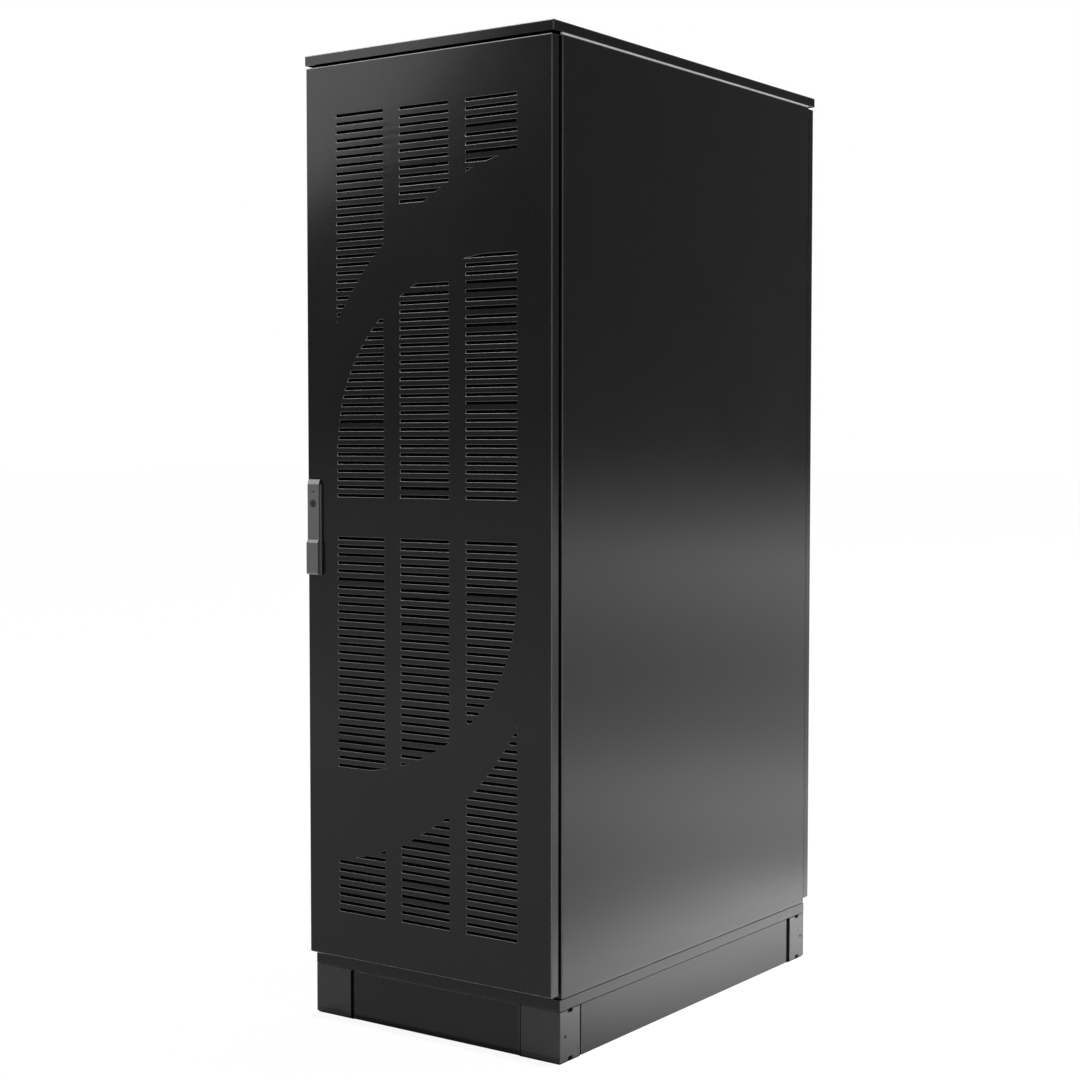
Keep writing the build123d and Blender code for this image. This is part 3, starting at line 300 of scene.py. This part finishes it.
def make_materials():
    """One finish for each of the record's material slots."""
    return {
        # the last number of each powder coat is the grey of the painted highlight on its bends
        "black_steel": powder_coat("black_powder_coat", grey(0.0075), grey(0.0115), (0.11, 0.16),
                                   depth=0.00003, specular=0.25, bend_highlight_grey=0.09),
        "frame_steel": powder_coat("frame_powder_coat", grey(0.006), grey(0.009), (0.4, 0.5),
                                   specular=0.12, bend_highlight_grey=0.03),
        # near-black and dull: painted shade on the steel seen deep in the gaps
        "hidden_steel": powder_coat("gap_painted_shade", grey(0.0015), grey(0.003), (0.6, 0.75), specular=0.05),
        "black_plastic": moulded_plastic("cover_plastic", grey(0.009), grey(0.014), (0.30, 0.38)),
        "zinc_steel": plated_steel("zinc_plate"),
        "grey_handle": powder_coat("grey_die_casting", grey(0.085), grey(0.125), (0.38, 0.5),
                                   coarse=420.0, depth=0.00004, bend_highlight_grey=0.2),
        "seal": foam_seal("foam_gasket", 0.25),
        # a filter mat behind the door vents, made nearly black as painted shade of the dark inside seen
        # through them
        "filter_foam": foam_seal("vent_filter_shade", 0.04, pitch=500.0),
        "pale_seal": moulded_plastic("pale_seal_strip", grey(0.8), grey(0.88), (0.45, 0.55), grain=700.0),
        "brass": bare_metal("brass_bar", (0.55, 0.36, 0.12), (0.78, 0.56, 0.24), (0.24, 0.13, 0.05)),
        "copper": bare_metal("copper_bar", (0.62, 0.25, 0.12), (0.86, 0.42, 0.24), (0.26, 0.10, 0.06)),
        "insulator": moulding_compound("red_insulator"),
        "block_case": moulded_plastic("battery_case", grey(0.016), grey(0.026), (0.45, 0.6), grain=800.0),
        "block_lid": moulded_plastic("battery_lid", grey(0.035), grey(0.052), (0.45, 0.6), grain=800.0),
        "breaker_case": moulded_plastic("breaker_shell", grey(0.28), grey(0.36), (0.4, 0.5), grain=900.0),
        "toggle_plastic": moulded_plastic("toggle_shell", grey(0.02), grey(0.03), (0.35, 0.45), grain=900.0),
    }


def paint_nodes(materials):
    """Every carried-over CAD node takes the finish of the material slot it is packed with."""
    for piece in NODES.values():
        packed = piece.data.materials
        slot = packed[0].name
        packed.clear()
        packed.append(materials[slot])


# ================================================================ edges
def mark_slots(piece, low, high):
    """Gives a bevel weight to the rims of the cut-outs in a panel's front face, between two corners."""
    mesh = piece.data
    faces_at = {}
    for polygon in mesh.polygons:
        for key in polygon.edge_keys:
            faces_at[key] = faces_at.get(key, 0) + 1
    front = min(vertex.co.y for vertex in mesh.vertices) + WELD
    weights = mesh.attributes.new("bevel_weight_edge", "FLOAT", "EDGE")
    for edge in mesh.edges:
        ends = [mesh.vertices[index].co for index in edge.vertices]
        inside = all(p.y < front and low[0] < p.x < high[0] and low[2] < p.z < high[2] for p in ends)
        if inside and faces_at[edge.key] == 1:
            weights.data[edge.index].value = 1.0


def soften(piece, width, limit):
    """Rounds a CAD node's sharp or weighted edges by width metres, as rolling or paint does."""
    weld = piece.modifiers.new("weld", "WELD")
    weld.merge_threshold = WELD
    flat = piece.modifiers.new("flat", "DECIMATE")
    flat.decimate_type = "DISSOLVE"
    flat.angle_limit = FLAT_ANGLE
    round_over = piece.modifiers.new("round_over", "BEVEL")
    round_over.width = width
    round_over.segments = ROUND_SEGMENTS
    round_over.limit_method = limit
    round_over.angle_limit = EDGE_ANGLE
    round_over.use_clamp_overlap = False
    creases = piece.modifiers.new("creases", "EDGE_SPLIT")
    creases.split_angle = CREASE_ANGLE
    even = piece.modifiers.new("even", "WEIGHTED_NORMAL")
    even.weight = LARGE_FACES_FIRST


def soften_edges():
    """Paint rounds the rims of the door's vents and the bends of the base rails."""
    mark_slots(NODES["door_panel"], *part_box("door_filters"))
    soften(NODES["door_panel"], VENT_ROUND, "WEIGHT")
    for node in ("base_cross_rails", "base_side_rails"):
        soften(NODES[node], RAIL_ROUND, "ANGLE")


# ================================================================ stage
def mix_shaders(tree, factor, first, second, output):
    """Sends first where factor is 0 and second where it is 1 to the tree's output node."""
    pick = tree.nodes.new("ShaderNodeMixShader")
    tree.links.new(factor, pick.inputs["Fac"])
    tree.links.new(first, pick.inputs[1])
    tree.links.new(second, pick.inputs[2])
    tree.links.new(pick.outputs["Shader"], tree.nodes[output].inputs["Surface"])


def camera_rays(tree):
    """1 for what the camera sees straight, 0 for what light and reflections meet."""
    return tree.nodes.new("ShaderNodeLightPath").outputs["Is Camera Ray"]


def floor_paint():
    """Matt pale paint with a faint mottle, which the camera sees mostly as an even glow."""
    material, tree, shader = new_material("floor_paint")
    mottle = noise(tree, object_coordinates(tree), 3.0, detail=4.0)
    base = tones(tree, mottle, 0.3, grey(0.86), 0.7, grey(0.9))
    tree.links.new(base, shader.inputs["Base Color"])
    shader.inputs["Roughness"].default_value = 0.9
    shader.inputs["Specular IOR Level"].default_value = 0.1
    glow = tree.nodes.new("ShaderNodeEmission")
    glow.inputs["Strength"].default_value = FLOOR_GLOW
    share = spread(tree, camera_rays(tree), 0.0, FLOOR_GLOW_SHARE)
    mix_shaders(tree, share, shader.outputs["BSDF"], glow.outputs["Emission"], "Material Output")
    return material


def build_floor():
    """A wide pale floor."""
    mesh = bpy.data.meshes.new("floor")
    left, right = -FLOOR_REACH, FLOOR_REACH
    corners = [(left, left, 0.0), (right, left, 0.0), (right, right, 0.0), (left, right, 0.0)]
    mesh.from_pydata(corners, [], [(0, 1, 2, 3)])
    floor = bpy.data.objects.new("floor", mesh)
    bpy.context.scene.collection.objects.link(floor)
    mesh.materials.append(floor_paint())
    return floor


def aim_light(lamp, place, target):
    """Hangs a lamp at place, facing target, out of the camera's sight."""
    light = bpy.data.objects.new(lamp.name, lamp)
    light.location = place
    aim = Vector(target) - Vector(place)
    light.rotation_euler = aim.to_track_quat("-Z", "Y").to_euler()
    bpy.context.scene.collection.objects.link(light)
    light.visible_camera = False
    return light


def soft_box(name, place, target, width, height, power, shape="RECTANGLE"):
    """A soft box, or a round one when shape is ELLIPSE."""
    lamp = bpy.data.lights.new(name, "AREA")
    lamp.shape = shape
    lamp.size = width
    lamp.size_y = height
    lamp.energy = power
    return aim_light(lamp, place, target)


def link_to(light, receiver):
    """Makes receiver the one object in a light's linking, and returns that collection."""
    group = bpy.data.collections.new(light.name + "_receivers")
    group.objects.link(receiver)
    light.light_linking.receiver_collection = group
    return group


def light_only(light, receiver):
    """Keeps a light for one object, such as the floor, so that it doesn't wash over the rest."""
    link_to(light, receiver)
    light.visible_glossy = False


def keep_off(light, spared):
    """Keeps a light off one object, such as the floor."""
    link_to(light, spared).collection_objects[0].light_linking.link_state = "EXCLUDE"


def build_lights(floor):
    """Two lights on the pieces alone, one on everything, and five that even out the floor."""
    for row in PIECE_LIGHTS:
        keep_off(soft_box(*row), floor)
    soft_box(*KEY_LIGHT, shape="ELLIPSE")
    for row in FLOOR_LIGHTS:
        light_only(soft_box(*row), floor)
    sky = bpy.data.lights.new("even_floor", "SUN")
    sky.energy = EVEN_FLOOR_POWER
    light_only(aim_light(sky, EVEN_FLOOR_PLACE, (0.0, 0.0, 0.0)), floor)


def build_world():
    """White behind the object, and a dim even surround that the lacquer reflects."""
    world = bpy.data.worlds.new("studio")
    bpy.context.scene.world = world
    world.use_nodes = True
    tree = world.node_tree
    surround = tree.nodes["Background"]
    backdrop = tree.nodes.new("ShaderNodeBackground")
    for background, strength in ((surround, SURROUND_LEVEL), (backdrop, BACKDROP_LEVEL)):
        background.inputs["Color"].default_value = WHITE
        background.inputs["Strength"].default_value = strength
    seen, unseen = backdrop.outputs["Background"], surround.outputs["Background"]
    mix_shaders(tree, camera_rays(tree), unseen, seen, "World Output")


def build_camera():
    """The camera stands where the photograph's did."""
    data = bpy.data.cameras.new("camera")
    data.lens = CAMERA_LENS
    data.sensor_width = SENSOR_WIDTH
    data.clip_end = CAMERA_REACH
    camera = bpy.data.objects.new("camera", data)
    camera.location = CAMERA_PLACE
    camera.rotation_euler = [math.radians(angle) for angle in CAMERA_TURN]
    bpy.context.scene.collection.objects.link(camera)
    bpy.context.scene.camera = camera


build_camera()
build_world()
build_lights(build_floor())
bpy.context.scene.view_settings.view_transform = "Standard"

paint_nodes(make_materials())
soften_edges()
